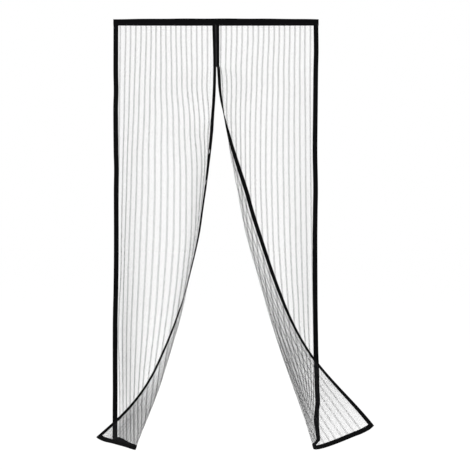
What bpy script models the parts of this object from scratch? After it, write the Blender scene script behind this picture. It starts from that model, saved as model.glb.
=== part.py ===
"""A magnetic insect screen for a doorway: two striped net panels hung from one top binding.

The two panels are sewn together at the centre for a short way down, and below that seam each
panel's free edge swings towards the viewer and folds back on itself. All sizes are in metres.
X runs across the doorway, Y into it, and Z is up. The origin is at the middle of the back face
of the top fastening tape, which goes against the door frame.
"""

import math

import bmesh
import bpy
import numpy as np
from mathutils import Matrix, Vector

# The whole screen
SCREEN_WIDTH = 1.000
SCREEN_LENGTH = 2.080
SEAM_LENGTH = 0.234
CLEARANCE = 0.0003

# The net, with thicker stripes woven into it
NET_THICKNESS = 0.0008
STRIPE_PITCH = 0.0254
STRIPE_WIDTH = 0.006
STRIPE_RISE = 0.0004

# The folded binding tape on each edge
TAPE_THICKNESS = 0.0007
TOP_BAND = 0.029
SIDE_BAND = 0.0215
CENTRE_BAND = 0.017
HEM_BAND = 0.020

# The magnets, and the pockets that hold them along the two centre bindings
MAGNET_LENGTH = 0.020
MAGNET_WIDTH = 0.007
MAGNET_THICKNESS = 0.0018
MAGNET_CORNER = 0.0012
MAGNET_PITCH = 0.150
MAGNET_BELOW_SEAM = 0.016
POCKET_PLAY = 0.0008
POCKET_SLOPE = 0.0015
LIP_DEPTH = 0.0025

# The lead strip in each bottom hem, near the free corner
LEAD_LENGTH = 0.100
LEAD_WIDTH = 0.008
LEAD_THICKNESS = 0.0014
LEAD_FROM_CORNER = 0.030

# The hook-and-loop tape on the back
FASTENING_THICKNESS = 0.0016
TOP_FASTENING_WIDTH = 0.020
SIDE_FASTENING_WIDTH = 0.015
FASTENING_INSET = 0.004

# How each panel hangs below the seam. A station is a share of the way from the seam to the hem.
# There the cloth turns by turn degrees about a place that is fold of the panel's width from the
# outer edge, over a stretch of bend of that width, after leaning forward by lean degrees behind
# the side binding, and its free edge curls by curl degrees more. sway is how far the outer edge
# strays outwards, also as a share of the width.
STATIONS = (0.0, 0.07, 0.14, 0.24, 0.40, 0.60, 0.80, 1.0)
RIGHT_DRAPE = {
    "fold": (0.515, 0.715, 0.865, 0.84, 0.755, 0.55, 0.33, 0.075),
    "turn": (0, 26, 45, 81, 108, 102, 107, 119),
    "bend": (0.60, 0.56, 0.42, 0.34, 0.26, 0.38, 0.58, 0.58),
    "lean": (0, 12, 12, 16, 23, 25, 15, 0),
    "curl": (0, 7, 35, 49, 31, 9, -6, -5),
    "sway": (0, 0, 0, 0, 0, 0.002, 0.012, 0.020),
}
LEFT_DRAPE = {
    "fold": (0.35, 0.35, 0.44, 0.815, 0.795, 0.715, 0.54, 0.275),
    "turn": (0, 7, 0, 35, 63, 83, 92, 104),
    "bend": (0.60, 0.56, 0.52, 0.44, 0.30, 0.24, 0.24, 0.16),
    "lean": (0, 5, 11, 22, 23, 29, 37, 36),
    "curl": (0, 0, 0, 0, 0, 0, 0, 0),
    "sway": (0, 0, 0, 0, 0, 0.002, 0.004, 0.002),
}
LEAN_START = 0.03
LEAN_HOLD = 0.02
LEAN_FADE = 0.20
CURL_WIDTH = 0.04
CURL_FROM_EDGE = 0.055

# The levels at which the solids are cut, closer together where the free edge twists
LEVELS = 16
TWIST_REACH = 0.45
LEVEL_TO_MAGNET = 0.003

# Levels and places that follow from these
PANEL_WIDTH = (SCREEN_WIDTH - CLEARANCE) / 2
BINDING_INSIDE = NET_THICKNESS / 2 + CLEARANCE
BINDING_OUTSIDE = BINDING_INSIDE + TAPE_THICKNESS
HEM_INSIDE = max(NET_THICKNESS / 2 + STRIPE_RISE, LEAD_THICKNESS / 2) + CLEARANCE
HEM_OUTSIDE = HEM_INSIDE + TAPE_THICKNESS
POCKET_INSIDE = max(MAGNET_THICKNESS / 2 + POCKET_PLAY, BINDING_INSIDE)
POCKET_OUTSIDE = POCKET_INSIDE + TAPE_THICKNESS
CLOTH_Y = -(FASTENING_THICKNESS + CLEARANCE + HEM_OUTSIDE)
TOP_Z = TOP_BAND / 2
HEM_TOP = SCREEN_LENGTH - HEM_BAND
NET_TOP = TAPE_THICKNESS + CLEARANCE
NET_BOTTOM = HEM_TOP + LIP_DEPTH
NET_OUTER = TAPE_THICKNESS + CLEARANCE
NET_INNER = PANEL_WIDTH - CENTRE_BAND + LIP_DEPTH
CENTRE_EDGE = PANEL_WIDTH - CENTRE_BAND
POCKET_START = NET_INNER + CLEARANCE + POCKET_SLOPE
POCKET_END = PANEL_WIDTH - TAPE_THICKNESS

# Colours and finishes seen in the cloth, tape and metal
FINISHES = {
    "net": {"colour": (0.05, 0.05, 0.055, 1), "roughness": 0.75, "metallic": 0.0, "alpha": 0.35},
    "binding_tape": {"colour": (0.010, 0.010, 0.011, 1), "roughness": 0.85, "metallic": 0.0},
    "fastening_tape": {"colour": (0.014, 0.014, 0.015, 1), "roughness": 0.95, "metallic": 0.0},
    "magnet": {"colour": (0.42, 0.42, 0.43, 1), "roughness": 0.30, "metallic": 1.0},
    "lead": {"colour": (0.22, 0.22, 0.24, 1), "roughness": 0.55, "metallic": 1.0},
}


def clear_scene():
    for leftover in list(bpy.data.objects):
        bpy.data.objects.remove(leftover, do_unlink=True)


def eased(x):
    """0 below 0, 1 above 1, and a smooth rise between."""
    x = np.clip(x, 0.0, 1.0)
    return x * x * (3 - 2 * x)


def along_stations(way, values):
    """A smooth curve through one value at each station, read at the shares in way."""
    places = np.array(STATIONS)
    values = np.array(values, float)
    rise = np.diff(values) / np.diff(places)
    slope = np.concatenate([rise[:1], rise[1:], rise[-1:]])
    for i in range(1, len(rise)):
        both = rise[i - 1] * rise[i]
        slope[i] = 2 * both / (rise[i - 1] + rise[i]) if both > 0 else 0.0
    i = np.clip(np.searchsorted(places, way, side="right") - 1, 0, len(places) - 2)
    span = places[i + 1] - places[i]
    t = (way - places[i]) / span
    return (
        (1 + 2 * t) * (1 - t) ** 2 * values[i]
        + t * (1 - t) ** 2 * span * slope[i]
        + t * t * (3 - 2 * t) * values[i + 1]
        + t * t * (t - 1) * span * slope[i + 1]
    )


def magnet_places():
    """How far down the middle of each magnet is, evenly spaced from the one below the seam."""
    start = SEAM_LENGTH + MAGNET_BELOW_SEAM
    above = int((start - TOP_BAND - MAGNET_LENGTH) / MAGNET_PITCH)
    below = int((HEM_TOP - start - MAGNET_LENGTH) / MAGNET_PITCH)
    return [start + number * MAGNET_PITCH for number in range(-above, below + 1)]


def beside_magnets(level):
    """The level, moved past the nearer end of a magnet that it would cut."""
    nearest = min(magnet_places(), key=lambda place: abs(place - level))
    room = MAGNET_LENGTH / 2 + LEVEL_TO_MAGNET
    if abs(level - nearest) >= room:
        return level
    return nearest + math.copysign(room, level - nearest)


class Cloth:
    """The middle surface of one hanging panel, as threads of fixed length.

    Each cross thread keeps its whole length along its turns, and each upright thread keeps its
    own, so what swings sideways or forward is lifted by as much.
    """

    STEPS_DOWN = 320
    STEPS_ACROSS = 160

    def __init__(self, side, drape):
        self.side = side
        self.down = np.linspace(0, SCREEN_LENGTH, self.STEPS_DOWN + 1)
        self.across = np.linspace(0, PANEL_WIDTH, self.STEPS_ACROSS + 1)
        way = np.clip((self.down - SEAM_LENGTH) / (SCREEN_LENGTH - SEAM_LENGTH), 0, 1)
        now = {name: along_stations(way, values)[:, None] for name, values in drape.items()}
        heading = np.radians(now["turn"]) * eased(
            (self.across / PANEL_WIDTH - now["fold"]) / now["bend"] + 0.5
        )
        behind = self.across - SIDE_BAND
        heading = heading + np.radians(now["lean"]) * eased(behind / LEAN_START) * (
            1 - eased((behind - LEAN_HOLD) / LEAN_FADE)
        )
        heading = heading + np.radians(now["curl"]) * eased(
            (self.across - PANEL_WIDTH + CURL_FROM_EDGE) / CURL_WIDTH
        )
        step_across = self.across[1]
        step_down = self.down[1]
        edge = SCREEN_WIDTH / 2 + now["sway"] * PANEL_WIDTH
        x = edge - self.summed(np.cos(heading), step_across)
        y = CLOTH_Y - self.summed(np.sin(heading), step_across)
        sideways = np.diff(x, axis=0) / step_down
        forward = np.diff(y, axis=0) / step_down
        drop = np.sqrt(np.maximum(1 - sideways**2 - forward**2, 0.04)) * step_down
        z = TOP_Z - np.concatenate([np.zeros((1, x.shape[1])), np.cumsum(drop, axis=0)])
        self.places = np.stack([side * x, y, z], axis=2)
        per_step = np.gradient(self.places, axis=1)
        per_row = np.gradient(self.places, axis=0)
        normals = side * np.cross(per_step, per_row)
        self.normals = normals / np.linalg.norm(normals, axis=2, keepdims=True)
        self.levels = self.even_levels(heading[:, -1])

    def even_levels(self, edge_heading):
        """Levels from the seam to the hem, as evenly spaced as the free edge's twist allows."""
        twist = np.concatenate([[0.0], np.cumsum(np.abs(np.diff(edge_heading)))])
        reach = self.down + TWIST_REACH * twist
        start, end = np.interp((SEAM_LENGTH, HEM_TOP), self.down, reach)
        levels = np.interp(np.linspace(start, end, LEVELS), reach, self.down)
        return [SEAM_LENGTH, *(beside_magnets(float(level)) for level in levels[1:-1]), HEM_TOP]

    @staticmethod
    def summed(values, step):
        """The running integral of each row."""
        halves = (values[:, 1:] + values[:, :-1]) / 2 * step
        return np.concatenate([np.zeros((len(values), 1)), np.cumsum(halves, axis=1)], axis=1)

    def read(self, grid, across, down):
        row = np.clip(down / self.down[1], 0, self.STEPS_DOWN - 1e-9)
        column = np.clip(across / self.across[1], 0, self.STEPS_ACROSS - 1e-9)
        i, j = int(row), int(column)
        u, v = row - i, column - j
        upper = grid[i, j] * (1 - v) + grid[i, j + 1] * v
        lower = grid[i + 1, j] * (1 - v) + grid[i + 1, j + 1] * v
        return Vector(upper * (1 - u) + lower * u)

    def point(self, across, down, out=0.0):
        """The place at this far from the outer edge and this far down, moved out of the front."""
        normal = self.read(self.normals, across, down).normalized()
        return self.read(self.places, across, down) + normal * out


def finish_named(name):
    material = bpy.data.materials.get(name)
    if material:
        return material
    values = FINISHES[name]
    material = bpy.data.materials.new(name)
    material.use_nodes = True
    shader = material.node_tree.nodes["Principled BSDF"]
    shader.inputs["Base Color"].default_value = values["colour"]
    shader.inputs["Roughness"].default_value = values["roughness"]
    shader.inputs["Metallic"].default_value = values["metallic"]
    shader.inputs["Alpha"].default_value = values.get("alpha", 1.0)
    return material


def add_piece(name, mesh, finish, screen):
    piece = bpy.data.objects.new(name, mesh)
    screen["collection"].objects.link(piece)
    piece.parent = screen["root"]
    if not mesh.materials:
        mesh.materials.append(finish_named(finish))
    return piece


def loft(name, cloth, sections, caps, finish, screen):
    """A closed body through sections of the cloth, which are rings of as many places each.

    A place is (across, down, out). Every four corners are split along the same direction of the
    cloth, so that the walls of pieces that lie inside one another stay parallel. caps lists the
    faces that close each end, as numbers in a ring.
    """
    mesh = bpy.data.meshes.new(name)
    body = bmesh.new()
    rings = [[body.verts.new(cloth.point(*place)) for place in section] for section in sections]
    for ring, after, here, there in zip(rings, rings[1:], sections, sections[1:]):
        for i in range(len(ring)):
            j = (i + 1) % len(ring)
            same_way = (there[j][0] - here[i][0]) * (there[j][1] - here[i][1]) > 0
            if same_way:
                body.faces.new((ring[i], ring[j], after[j]))
                body.faces.new((ring[i], after[j], after[i]))
            else:
                body.faces.new((ring[i], ring[j], after[i]))
                body.faces.new((ring[j], after[j], after[i]))
    for cap in caps:
        body.faces.new([rings[0][i] for i in reversed(cap)])
        body.faces.new([rings[-1][i] for i in cap])
    finish_body(body, mesh)
    return add_piece(name, mesh, finish, screen)


def finish_body(body, mesh):
    bmesh.ops.recalc_face_normals(body, faces=body.faces)
    body.to_mesh(mesh)
    body.free()
    mesh.shade_smooth()
    mesh.set_sharp_from_angle(angle=math.radians(35))


def facing_caps(count):
    """Faces that close a ring whose second half runs back along its first, point by point."""
    last = count - 1
    return [(i, i + 1, last - i - 1, last - i) for i in range(count // 2 - 1)]


def down_sections(profile, levels):
    return [[(across, down, out) for across, out in profile] for down in levels]


def across_sections(profile, columns):
    return [[(across, down, out) for down, out in profile] for across in columns]


def stripe_centres():
    shown = CENTRE_EDGE - SIDE_BAND
    count = int((shown - STRIPE_WIDTH) / STRIPE_PITCH) + 1
    first = SIDE_BAND + (shown - (count - 1) * STRIPE_PITCH) / 2
    return [first + i * STRIPE_PITCH for i in range(count)]


def stripe_feet():
    return [centre + way * STRIPE_WIDTH / 2 for centre in stripe_centres() for way in (-1, 1)]


def add_net_panel(name, cloth, screen):
    """The net: a thin wall, with an upright ridge on its front for each woven stripe."""
    half = NET_THICKNESS / 2
    front = [(NET_OUTER, half), (SIDE_BAND, half)]
    back = list(front)
    for centre in stripe_centres():
        feet = [(centre - STRIPE_WIDTH / 2, half), (centre + STRIPE_WIDTH / 2, half)]
        front += [feet[0], (centre, half + STRIPE_RISE), feet[1]]
        back += feet
    front += [(CENTRE_EDGE, half), (NET_INNER, half)]
    back += [(CENTRE_EDGE, half), (NET_INNER, half)]
    profile = front + [(across, -out) for across, out in reversed(back)]
    sections = down_sections(profile, [NET_TOP, *cloth.levels, NET_BOTTOM])
    loft(name, cloth, sections, net_caps(len(front), len(back)), "net", screen)


def net_caps(front_count, back_count):
    """Faces that close the net's end: a band between stripes, and a five-sided one on a stripe."""
    last = front_count + back_count - 1
    caps = []
    ahead = 0
    for behind in range(back_count - 1):
        on_stripe = 2 <= behind <= back_count - 4 and behind % 2 == 0
        step = 2 if on_stripe else 1
        front_side = range(ahead, ahead + step + 1)
        caps.append((*front_side, last - behind - 1, last - behind))
        ahead += step
    return caps


def binding_levels(cloth):
    return [TOP_BAND + CLEARANCE, *cloth.levels, NET_BOTTOM, SCREEN_LENGTH]


def add_side_binding(name, cloth, screen):
    """A tape folded round the outer edge of the net."""
    profile = (
        (SIDE_BAND, BINDING_OUTSIDE),
        (0.0, BINDING_OUTSIDE),
        (0.0, -BINDING_OUTSIDE),
        (SIDE_BAND, -BINDING_OUTSIDE),
        (SIDE_BAND, -BINDING_INSIDE),
        (TAPE_THICKNESS, -BINDING_INSIDE),
        (TAPE_THICKNESS, BINDING_INSIDE),
        (SIDE_BAND, BINDING_INSIDE),
    )
    sections = down_sections(profile, binding_levels(cloth))
    loft(name, cloth, sections, facing_caps(len(profile)), "binding_tape", screen)


def add_centre_binding(name, cloth, screen):
    """A tape folded round the free edge, with lips on the net and a pocket for the magnets."""
    lip_end = NET_INNER + CLEARANCE
    outer = (
        (CENTRE_EDGE, BINDING_OUTSIDE),
        (lip_end, BINDING_OUTSIDE),
        (POCKET_START, POCKET_OUTSIDE),
        (PANEL_WIDTH, POCKET_OUTSIDE),
    )
    inner = (
        (CENTRE_EDGE, BINDING_INSIDE),
        (lip_end, BINDING_INSIDE),
        (POCKET_START, POCKET_INSIDE),
        (POCKET_END, POCKET_INSIDE),
    )
    profile = [
        *outer,
        *((across, -out) for across, out in reversed(outer)),
        *((across, -out) for across, out in inner),
        *reversed(inner),
    ]
    sections = down_sections(profile, binding_levels(cloth))
    loft(name, cloth, sections, facing_caps(len(profile)), "binding_tape", screen)


def hem_columns():
    return [SIDE_BAND + CLEARANCE, *stripe_feet(), CENTRE_EDGE - CLEARANCE]


def add_bottom_hem(name, cloth, screen):
    """A tape folded round the bottom edge, between the side and centre bindings."""
    profile = (
        (HEM_TOP, HEM_OUTSIDE),
        (SCREEN_LENGTH, HEM_OUTSIDE),
        (SCREEN_LENGTH, -HEM_OUTSIDE),
        (HEM_TOP, -HEM_OUTSIDE),
        (HEM_TOP, -HEM_INSIDE),
        (SCREEN_LENGTH - TAPE_THICKNESS, -HEM_INSIDE),
        (SCREEN_LENGTH - TAPE_THICKNESS, HEM_INSIDE),
        (HEM_TOP, HEM_INSIDE),
    )
    sections = across_sections(profile, hem_columns())
    loft(name, cloth, sections, facing_caps(len(profile)), "binding_tape", screen)


def add_hem_lead(name, cloth, screen):
    """A soft lead strip in the hem's fold, near the free corner, bending with the hem."""
    end = CENTRE_EDGE - LEAD_FROM_CORNER
    start = end - LEAD_LENGTH
    columns = [start, *(c for c in hem_columns() if start < c < end), end]
    bottom = SCREEN_LENGTH - TAPE_THICKNESS - CLEARANCE
    profile = (
        (bottom - LEAD_WIDTH, LEAD_THICKNESS / 2),
        (bottom, LEAD_THICKNESS / 2),
        (bottom, -LEAD_THICKNESS / 2),
        (bottom - LEAD_WIDTH, -LEAD_THICKNESS / 2),
    )
    sections = across_sections(profile, columns)
    loft(name, cloth, sections, facing_caps(len(profile)), "lead", screen)


def add_side_fastening(name, cloth, screen):
    """Hook-and-loop tape down the back of a side binding."""
    near = (SIDE_BAND - SIDE_FASTENING_WIDTH) / 2
    far = near + SIDE_FASTENING_WIDTH
    front = -BINDING_OUTSIDE - CLEARANCE
    back = front - FASTENING_THICKNESS
    profile = ((far, front), (near, front), (near, back), (far, back))
    sections = down_sections(profile, [TOP_BAND + FASTENING_INSET, *cloth.levels])
    loft(name, cloth, sections, facing_caps(len(profile)), "fastening_tape", screen)


def add_top_binding(screen):
    """One tape folded over the top edges of both panels, right across the doorway."""
    bottom = TOP_Z - TOP_BAND
    under = TOP_Z - TAPE_THICKNESS
    profile = (
        (-HEM_OUTSIDE, bottom),
        (-HEM_OUTSIDE, TOP_Z),
        (HEM_OUTSIDE, TOP_Z),
        (HEM_OUTSIDE, bottom),
        (HEM_INSIDE, bottom),
        (HEM_INSIDE, under),
        (-HEM_INSIDE, under),
        (-HEM_INSIDE, bottom),
    )
    mesh = bpy.data.meshes.new("top_binding")
    body = bmesh.new()
    end = [body.verts.new((-SCREEN_WIDTH / 2, CLOTH_Y + y, z)) for y, z in profile]
    swept = bmesh.ops.extrude_face_region(body, geom=[body.faces.new(end)])["geom"]
    moved = [v for v in swept if isinstance(v, bmesh.types.BMVert)]
    bmesh.ops.translate(body, verts=moved, vec=(SCREEN_WIDTH, 0, 0))
    finish_body(body, mesh)
    add_piece("top_binding", mesh, "binding_tape", screen)


def add_top_fastening(screen):
    """Hook-and-loop tape along the back of the top binding, with the origin on its back face."""
    bpy.ops.mesh.primitive_cube_add(size=1)
    tape = bpy.context.object
    tape.name = tape.data.name = "top_fastening_tape"
    tape.data.transform(
        Matrix.Translation((0, -FASTENING_THICKNESS / 2, 0))
        @ Matrix.Diagonal(
            (SCREEN_WIDTH - 2 * FASTENING_INSET, FASTENING_THICKNESS, TOP_FASTENING_WIDTH, 1)
        )
    )
    tape.data.materials.append(finish_named("fastening_tape"))
    for collection in tape.users_collection:
        collection.objects.unlink(tape)
    screen["collection"].objects.link(tape)
    tape.parent = screen["root"]


def magnet_mesh():
    """A flat bar magnet with rounded corners, its length along Z and its thickness along Y."""
    mesh = bpy.data.meshes.new("bar_magnet")
    bar = bmesh.new()
    bmesh.ops.create_cube(bar, size=1)
    for vertex in bar.verts:
        vertex.co.x *= MAGNET_WIDTH
        vertex.co.y *= MAGNET_THICKNESS
        vertex.co.z *= MAGNET_LENGTH
    corners = [e for e in bar.edges if abs(e.verts[0].co.y - e.verts[1].co.y) > MAGNET_THICKNESS / 2]
    bmesh.ops.bevel(
        bar, geom=corners, offset=MAGNET_CORNER, segments=1, affect="EDGES", profile=0.5
    )
    bar.to_mesh(mesh)
    bar.free()
    mesh.materials.append(finish_named("magnet"))
    return mesh


def pocket_place(cloth, across, down):
    """A place in the middle of the magnet pocket, on the flat facets between two levels."""
    levels = binding_levels(cloth)
    i = max(k for k, level in enumerate(levels[:-1]) if level <= down)
    fall = (down - levels[i]) / (levels[i + 1] - levels[i])
    over = (across - POCKET_START) / (POCKET_END - POCKET_START)
    near = cloth.point(POCKET_START, levels[i])
    far = cloth.point(POCKET_END, levels[i + 1])
    if fall > over:
        turning = cloth.point(POCKET_START, levels[i + 1])
        return near + (turning - near) * fall + (far - turning) * over
    turning = cloth.point(POCKET_END, levels[i])
    return near + (turning - near) * over + (far - turning) * fall


def add_magnets(side_name, cloth, mesh, screen):
    """A row of magnets in the centre binding, each lying flat in its stretch of the pocket."""
    middle = (POCKET_START + POCKET_END) / 2
    for number, down in enumerate(magnet_places()):
        corners = [
            pocket_place(cloth, middle + i * MAGNET_WIDTH / 2, down + j * MAGNET_LENGTH / 2)
            for i, j in ((-1, -1), (1, -1), (-1, 1), (1, 1))
        ]
        centre = sum(corners, Vector()) / len(corners)
        up = (corners[0] + corners[1] - corners[2] - corners[3]).normalized()
        width = corners[1] + corners[3] - corners[0] - corners[2]
        width = (width - up * width.dot(up)).normalized()
        magnet = add_piece(f"{side_name}_magnet_{number + 1:02d}", mesh, "magnet", screen)
        turned = Matrix((width, up.cross(width), up)).transposed().to_4x4()
        magnet.matrix_world = Matrix.Translation(centre) @ turned


def build_screen():
    clear_scene()
    collection = bpy.data.collections.new("magnetic_insect_screen")
    bpy.context.scene.collection.children.link(collection)
    root = bpy.data.objects.new("magnetic_insect_screen_root", None)
    collection.objects.link(root)
    screen = {"collection": collection, "root": root}
    add_top_binding(screen)
    add_top_fastening(screen)
    magnet = magnet_mesh()
    for side_name, side, drape in (("left", -1, LEFT_DRAPE), ("right", 1, RIGHT_DRAPE)):
        cloth = Cloth(side, drape)
        add_net_panel(f"{side_name}_net_panel", cloth, screen)
        add_side_binding(f"{side_name}_side_binding", cloth, screen)
        add_centre_binding(f"{side_name}_centre_binding", cloth, screen)
        add_bottom_hem(f"{side_name}_bottom_hem", cloth, screen)
        add_hem_lead(f"{side_name}_hem_lead", cloth, screen)
        add_side_fastening(f"{side_name}_fastening_tape", cloth, screen)
        add_magnets(side_name, cloth, magnet, screen)


build_screen()
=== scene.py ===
import math

import bpy
import numpy as np
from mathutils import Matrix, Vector


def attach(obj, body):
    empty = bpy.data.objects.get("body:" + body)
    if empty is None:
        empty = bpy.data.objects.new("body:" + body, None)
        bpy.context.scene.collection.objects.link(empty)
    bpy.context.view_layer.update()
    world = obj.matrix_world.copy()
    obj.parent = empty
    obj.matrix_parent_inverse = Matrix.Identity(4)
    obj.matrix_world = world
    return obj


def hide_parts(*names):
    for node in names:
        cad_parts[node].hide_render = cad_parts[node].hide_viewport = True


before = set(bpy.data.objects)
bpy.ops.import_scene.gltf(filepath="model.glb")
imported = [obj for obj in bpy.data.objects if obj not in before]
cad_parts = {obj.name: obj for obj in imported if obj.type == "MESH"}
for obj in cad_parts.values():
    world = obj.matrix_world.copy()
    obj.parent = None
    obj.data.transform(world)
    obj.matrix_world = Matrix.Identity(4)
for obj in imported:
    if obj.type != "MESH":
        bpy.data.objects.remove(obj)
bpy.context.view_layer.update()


# The place it is seen in: a white studio with a pale floor just under the hanging hems, a camera
# at chest height two and a half metres in front of the doorway, and three large soft lamps.
STAND_BACK = 2.5
FRAME_PIXELS = 470
PIXELS_IN_A_METRE = 204.5
SHOWN_WIDTH = FRAME_PIXELS / PIXELS_IN_A_METRE
CAMERA_ACROSS = 0.0941
CAMERA_UP = -1.0411
FLOOR_UP = -2.10
FLOOR_ACROSS = 60
SHADE_STRENGTH = 0.55
FLOOR_PAINT = (0.82, 0.82, 0.82, 1)
FLOOR_SHADE = (0.08, 0.08, 0.08, 1)
FLOOR_GLOW = 0.955

camera_data = bpy.data.cameras.new("studio_camera")
camera_data.sensor_width = 36
camera_data.lens = camera_data.sensor_width * STAND_BACK / SHOWN_WIDTH
camera = bpy.data.objects.new("studio_camera", camera_data)
camera.location = (CAMERA_ACROSS, -STAND_BACK, CAMERA_UP)
camera.rotation_euler = (math.radians(90), 0, 0)
bpy.context.scene.collection.objects.link(camera)
bpy.context.scene.camera = camera
bpy.context.scene.view_settings.view_transform = "Standard"


def soft_lamp(name, place, aim, size, watts):
    """A round lamp this wide, turned towards what it lights."""
    light = bpy.data.lights.new(name, "AREA")
    light.shape = "DISK"
    light.size = size
    light.energy = watts
    lamp = bpy.data.objects.new(name, light)
    lamp.location = place
    lamp.rotation_euler = (Vector(aim) - Vector(place)).to_track_quat("-Z", "Y").to_euler()
    bpy.context.scene.collection.objects.link(lamp)


soft_lamp("key_lamp", (-2.2, -2.6, 1.2), (0, 0, -1.0), 1.8, 90)
soft_lamp("fill_lamp", (2.6, -2.2, 0.4), (0, 0, -1.2), 2.2, 45)
soft_lamp("back_lamp", (0.6, 2.6, 1.2), (0, 0, -1.0), 2.0, 60)


def seen_ray(nodes, links):
    """1 where the camera, a gloss or a clear piece looks, and 0 for light that falls on things."""
    path = nodes.new("ShaderNodeLightPath")
    total = path.outputs["Is Camera Ray"]
    for name in ("Is Glossy Ray", "Is Transmission Ray"):
        either = nodes.new("ShaderNodeMath")
        either.operation = "MAXIMUM"
        links.new(total, either.inputs[0])
        links.new(path.outputs[name], either.inputs[1])
        total = either.outputs[0]
    return total


def new_finish(name):
    """A new material, with the nodes and links that it is built from."""
    finish = bpy.data.materials.new(name)
    finish.use_nodes = True
    return finish, finish.node_tree.nodes, finish.node_tree.links


world = bpy.data.worlds.new("studio_world")
bpy.context.scene.world = world
world.use_nodes = True
nodes, links = world.node_tree.nodes, world.node_tree.links
nodes.clear()
ambient = nodes.new("ShaderNodeBackground")
ambient.inputs["Color"].default_value = (1, 1, 1, 1)
ambient.inputs["Strength"].default_value = SHADE_STRENGTH
white = nodes.new("ShaderNodeBackground")
white.inputs["Color"].default_value = (1, 1, 1, 1)
either_way = nodes.new("ShaderNodeMixShader")
out = nodes.new("ShaderNodeOutputWorld")
links.new(seen_ray(nodes, links), either_way.inputs[0])
links.new(ambient.outputs[0], either_way.inputs[1])
links.new(white.outputs[0], either_way.inputs[2])
links.new(either_way.outputs[0], out.inputs["Surface"])

floor_finish, nodes, links = new_finish("studio_floor")
nodes.clear()
paint = nodes.new("ShaderNodeBsdfDiffuse")
paint.inputs["Color"].default_value = FLOOR_PAINT
glow = nodes.new("ShaderNodeEmission")
glow.inputs["Strength"].default_value = FLOOR_GLOW
shaded = nodes.new("ShaderNodeBsdfDiffuse")
shaded.inputs["Color"].default_value = FLOOR_SHADE
both = nodes.new("ShaderNodeAddShader")
either_way = nodes.new("ShaderNodeMixShader")
out = nodes.new("ShaderNodeOutputMaterial")
links.new(shaded.outputs[0], both.inputs[0])
links.new(glow.outputs[0], both.inputs[1])
links.new(seen_ray(nodes, links), either_way.inputs[0])
links.new(paint.outputs[0], either_way.inputs[1])
links.new(both.outputs[0], either_way.inputs[2])
links.new(either_way.outputs[0], out.inputs["Surface"])

bpy.ops.mesh.primitive_plane_add(size=FLOOR_ACROSS, location=(0, 0, FLOOR_UP))
studio_floor = bpy.context.object
studio_floor.name = "studio_floor"
studio_floor.data.materials.append(floor_finish)


# The net panels: two sheets of sheer black knitted net, each cut 50 cm by 208 cm. They hang from
# the top tape and are sewn together for the first 23 cm; below that each free edge swings towards
# the viewer and folds back, and every thread keeps its own length as it turns.
SCREEN_WIDTH = 1.000
SCREEN_LENGTH = 2.080
SEAM_LENGTH = 0.234
PANEL_GAP = 0.0003
PANEL_WIDTH = (SCREEN_WIDTH - PANEL_GAP) / 2
TOP_BAND = 0.029
SIDE_BAND = 0.0215
CENTRE_BAND = 0.017
HEM_BAND = 0.020
TOP_UP = TOP_BAND / 2
CLOTH_FORWARD = 0.0037
CENTRE_EDGE = PANEL_WIDTH - CENTRE_BAND
HEM_TOP = SCREEN_LENGTH - HEM_BAND
STATIONS = (0.0, 0.07, 0.14, 0.24, 0.40, 0.60, 0.80, 1.0)
RIGHT_DRAPE = {
    "fold": (0.515, 0.715, 0.865, 0.84, 0.766, 0.561, 0.35, 0.092),
    "turn": (0, 26, 45, 81, 113.6, 103.9, 110.8, 120.4),
    "bend": (0.60, 0.56, 0.42, 0.34, 0.30, 0.416, 0.547, 0.531),
    "lean": (0, 12, 12, 16, 23, 25, 15, 0),
    "curl": (0, 7, 35, 49, 30.6, 17.9, -16.1, -5.5),
    "sway": (0, 0, 0, 0, 0, 0.002, 0.012, 0.020),
}
LEFT_DRAPE = {
    "fold": (0.35, 0.35, 0.44, 0.815, 0.807, 0.728, 0.547, 0.281),
    "turn": (0, 7, 0, 35, 65.8, 86.4, 93, 104.8),
    "bend": (0.60, 0.56, 0.52, 0.44, 0.315, 0.289, 0.226, 0.125),
    "lean": (0, 5, 11, 22, 25.1, 30.9, 37.1, 36.2),
    "curl": (0, 0, 0, 0, 0, 0, 0, 0),
    "sway": (0, 0, 0, 0, 0, 0.002, 0.004, 0.002),
}
LEAN_START = 0.03
LEAN_HOLD = 0.02
LEAN_FADE = 0.20
CURL_WIDTH = 0.04
CURL_FROM_EDGE = 0.055
TWIST_REACH = 0.15
SLACK_FROM = 1.70
CORNER_SLACK = 0.020
LEAST_DROP = 0.2
SURFACE_ROWS = 641
SURFACE_COLUMNS = 241
SLEEVE_TWIST = {
    "left": ((0.75, 1.00, 1.10, 1.30, 1.40, 1.49, 1.60, 1.72, 1.85),
             (0, -8, -16, -17, -6, 5, 6, 5, 0)),
    "right": ((0.30, 0.39, 0.47, 0.56), (0, -22, -20, 0)),
}


def eased(x):
    """A smooth step: 0 up to x = 0, 1 from x = 1 on."""
    x = np.clip(x, 0.0, 1.0)
    return x * x * (3 - 2 * x)


def along_stations(way, values, places=STATIONS):
    """A smooth curve through one value at each station, read at the places in way."""
    places = np.array(places)
    values = np.array(values, float)
    way = np.clip(way, places[0], places[-1])
    rise = np.diff(values) / np.diff(places)
    slope = np.concatenate([rise[:1], rise[1:], rise[-1:]])
    for i in range(1, len(rise)):
        product = rise[i - 1] * rise[i]
        slope[i] = 2 * product / (rise[i - 1] + rise[i]) if product > 0 else 0.0
    i = np.clip(np.searchsorted(places, way, side="right") - 1, 0, len(places) - 2)
    span = places[i + 1] - places[i]
    t = (way - places[i]) / span
    return (
        (1 + 2 * t) * (1 - t) ** 2 * values[i]
        + t * (1 - t) ** 2 * span * slope[i]
        + t * t * (3 - 2 * t) * values[i + 1]
        + t * t * (t - 1) * span * slope[i + 1]
    )


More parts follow.
